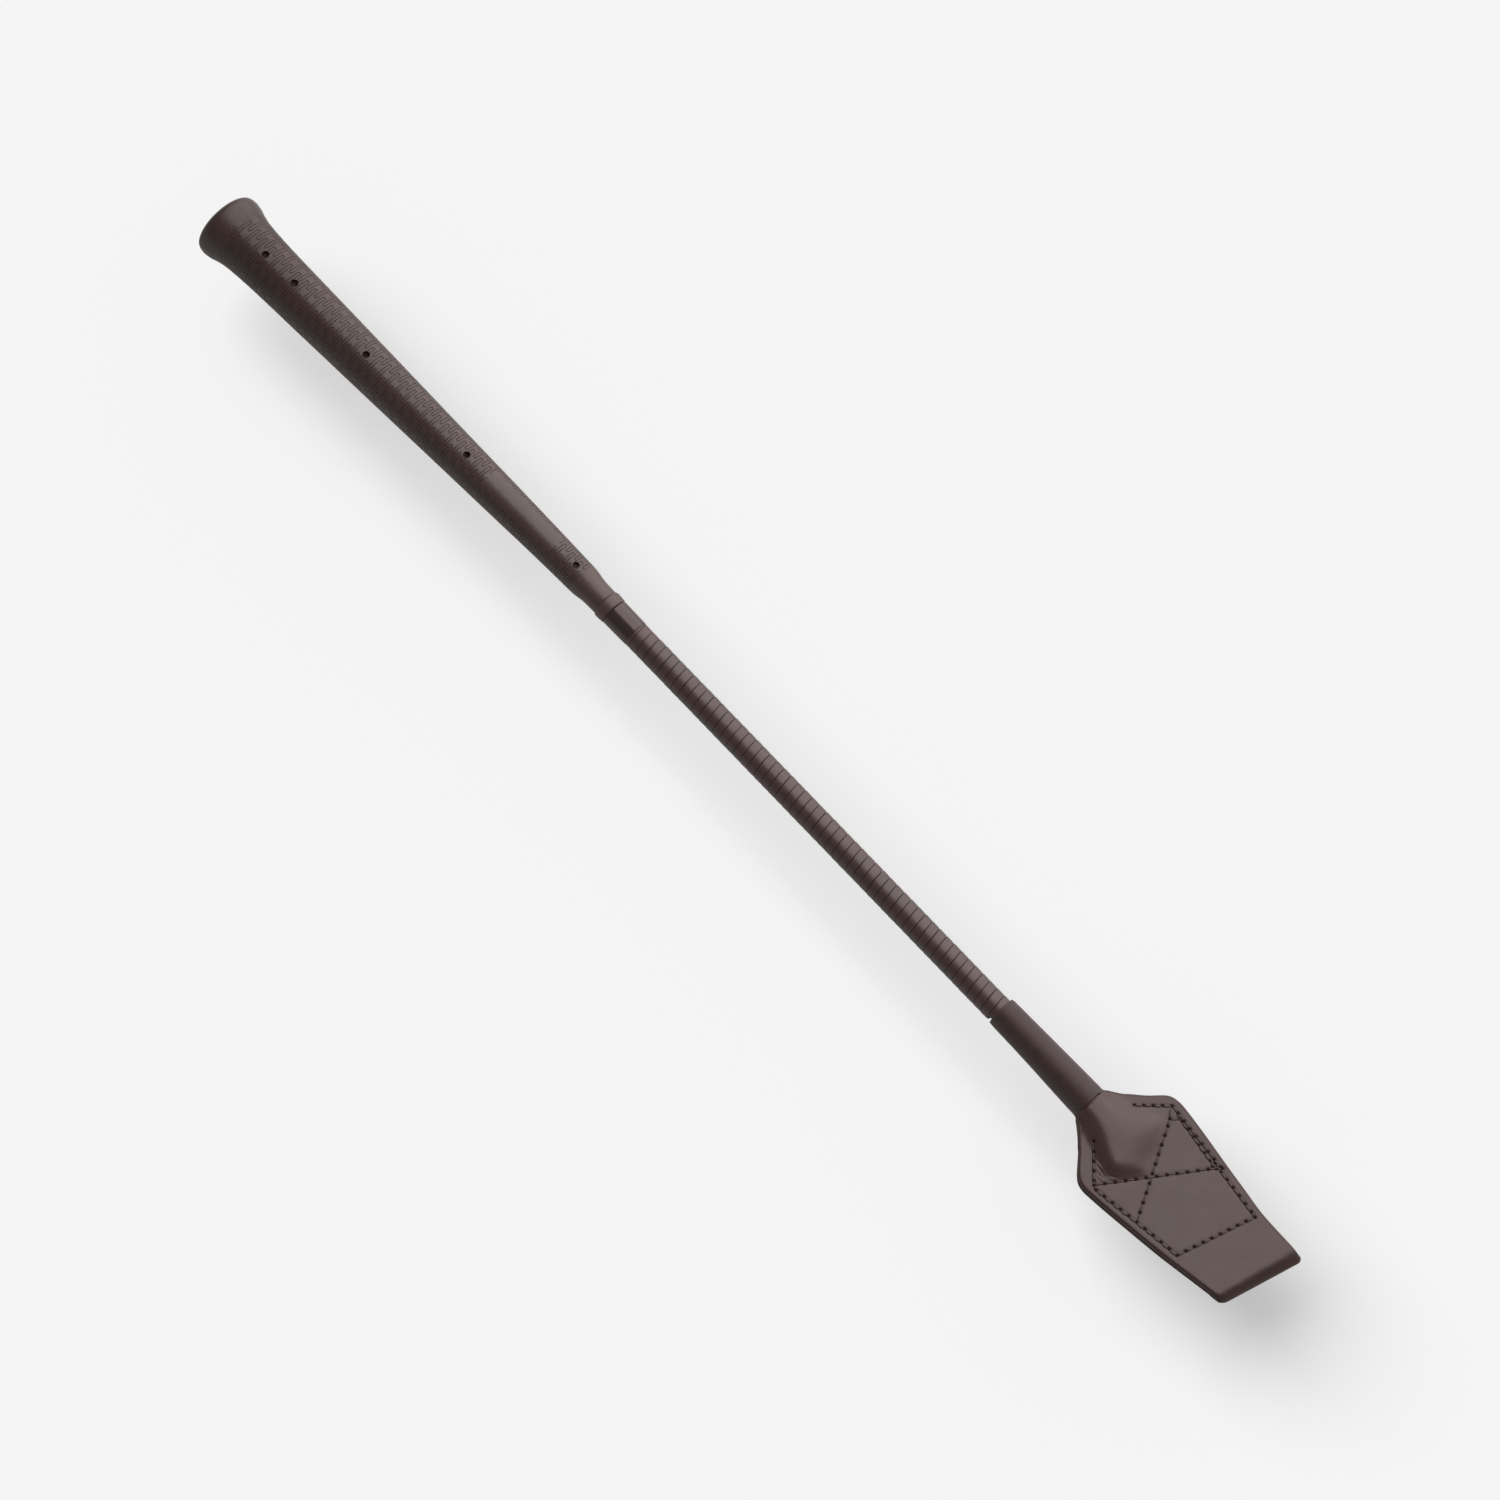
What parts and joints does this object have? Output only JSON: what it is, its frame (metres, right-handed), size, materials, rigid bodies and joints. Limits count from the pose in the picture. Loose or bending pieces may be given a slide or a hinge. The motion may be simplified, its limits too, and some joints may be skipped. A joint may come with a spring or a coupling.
{
  "type": "riding crop",
  "caption": "Short riding crop with a tapered rubber grip, a ribbon-wrapped fibreglass shaft and a stitched, folded leather flap that flexes past the end of the rod.",
  "frame": {"origin": "where the shaft's axis meets the flat butt face of the grip", "axes": "+X along the shaft from butt to flap tip, +Z out of the flap's front face, +Y across the flap towards its longer side edge"},
  "size_m": [0.6507, 0.0566, 0.032],
  "materials": {
    "grip_rubber": "dark brown moulded rubber, matte",
    "end_ring": "dark brown rubber, slightly smoother than the grip",
    "ferrule_lacquer": "near-black gloss",
    "ribbon": "dark brown leatherette ribbon, semi-matte",
    "flap_leather": "smooth dark brown leather with painted edges",
    "binding_cord": "waxed dark brown cord",
    "stitch_thread": "near-black thread",
    "rod_fibreglass": "pale pultruded fibreglass",
    "core_plastic": "black moulded plastic",
    "padding": "braided cotton under-wrap",
    "cap_rubber": "black rubber"
  },
  "bodies": {
    "shaft": {"core_rod": "rod_fibreglass", "butt_plug": "core_plastic", "handle_core": "core_plastic", "grip_sleeve": "grip_rubber", "grip_end_ring": "end_ring", "neck_ferrule": "ferrule_lacquer", "shaft_padding": "padding", "spiral_ribbon": "ribbon", "rod_end_cap": "cap_rubber", "flap_neck_front": "flap_leather", "flap_neck_back": "flap_leather", "binding_thread": "binding_cord", "needle_thread_neck": "stitch_thread", "bobbin_thread_neck": "stitch_thread"},
    "flap": {"flap_panel": "flap_leather", "needle_thread_panel": "stitch_thread", "bobbin_thread_panel": "stitch_thread"}
  },
  "joints": [
    {"name": "flap_flex", "type": "hinge", "parent": "shaft", "child": "flap", "pos_m": [0.586, 0, 0], "axis": [0, 1, 0], "range_deg": [-45, 45], "stiffness_Nm_per_rad": 0.15}
  ]
}
